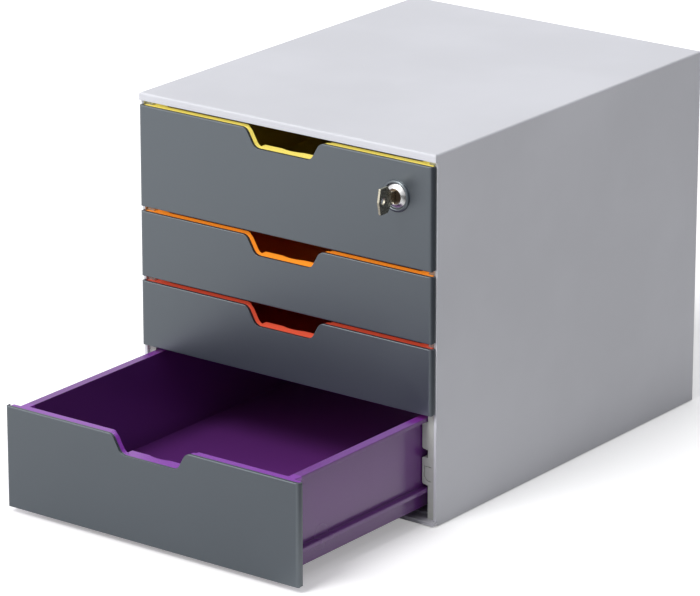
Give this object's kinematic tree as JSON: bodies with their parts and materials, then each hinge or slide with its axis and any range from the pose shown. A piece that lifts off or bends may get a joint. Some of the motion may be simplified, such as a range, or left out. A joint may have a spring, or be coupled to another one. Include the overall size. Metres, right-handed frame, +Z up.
{
  "type": "desktop drawer cabinet",
  "caption": "Closed desktop drawer cabinet: pale grey case, dark front plates with finger notches, coloured trays on moulded runners, and a cam lock with a key in the top drawer.",
  "frame": {"origin": "on the surface that the feet stand on, under the centre of the case's footprint", "axes": "+X to the right seen from the front, +Y from the fronts to the back panel, +Z up"},
  "size_m": [0.28, 0.5204, 0.292],
  "materials": {
    "case_plastic": "satin",
    "runner_plastic": "satin",
    "front_plastic": "satin",
    "yellow_plastic": "gloss",
    "orange_plastic": "gloss",
    "red_plastic": "gloss",
    "purple_plastic": "gloss",
    "lock_chrome": "polished",
    "key_nickel": "satin",
    "zinc_steel": "satin",
    "wafer_brass": "satin",
    "foot_rubber": "matte"
  },
  "bodies": {
    "housing": {"outer_shell": "case_plastic", "base_panel": "case_plastic", "back_panel": "case_plastic", "left_runner_panel": "runner_plastic", "right_runner_panel": "runner_plastic", "rubber_feet": "foot_rubber", "strike_plate": "zinc_steel"},
    "drawer_1": {"tray_1": "yellow_plastic", "front_1": "front_plastic", "lock_barrel": "lock_chrome", "lock_nut": "zinc_steel"},
    "drawer_2": {"tray_2": "orange_plastic", "front_2": "front_plastic"},
    "drawer_3": {"tray_3": "red_plastic", "front_3": "front_plastic"},
    "drawer_4": {"tray_4": "purple_plastic", "front_4": "front_plastic"},
    "lock_core": {"lock_plug": "lock_chrome", "lock_wafers": "wafer_brass", "lock_cam": "zinc_steel", "cam_washer": "zinc_steel", "cam_screw": "zinc_steel"},
    "key": {"key": "key_nickel"}
  },
  "joints": [
    {"name": "drawer_1_slide", "type": "slide", "parent": "housing", "child": "drawer_1", "axis": [0, -1, 0], "range_m": [0, 0.25]},
    {"name": "drawer_2_slide", "type": "slide", "parent": "housing", "child": "drawer_2", "axis": [0, -1, 0], "range_m": [0, 0.25]},
    {"name": "drawer_3_slide", "type": "slide", "parent": "housing", "child": "drawer_3", "axis": [0, -1, 0], "range_m": [0, 0.25]},
    {"name": "drawer_4_slide", "type": "slide", "parent": "housing", "child": "drawer_4", "axis": [0, -1, 0], "range_m": [-0.162, 0.088]},
    {"name": "lock_turn", "type": "hinge", "parent": "drawer_1", "child": "lock_core", "pos_m": [0.106, -0.175, 0.2555], "axis": [0, 1, 0], "range_deg": [0, 90]},
    {"name": "key_pull", "type": "slide", "parent": "lock_core", "child": "key", "axis": [0, -1, 0], "range_m": [0, 0.022]}
  ]
}
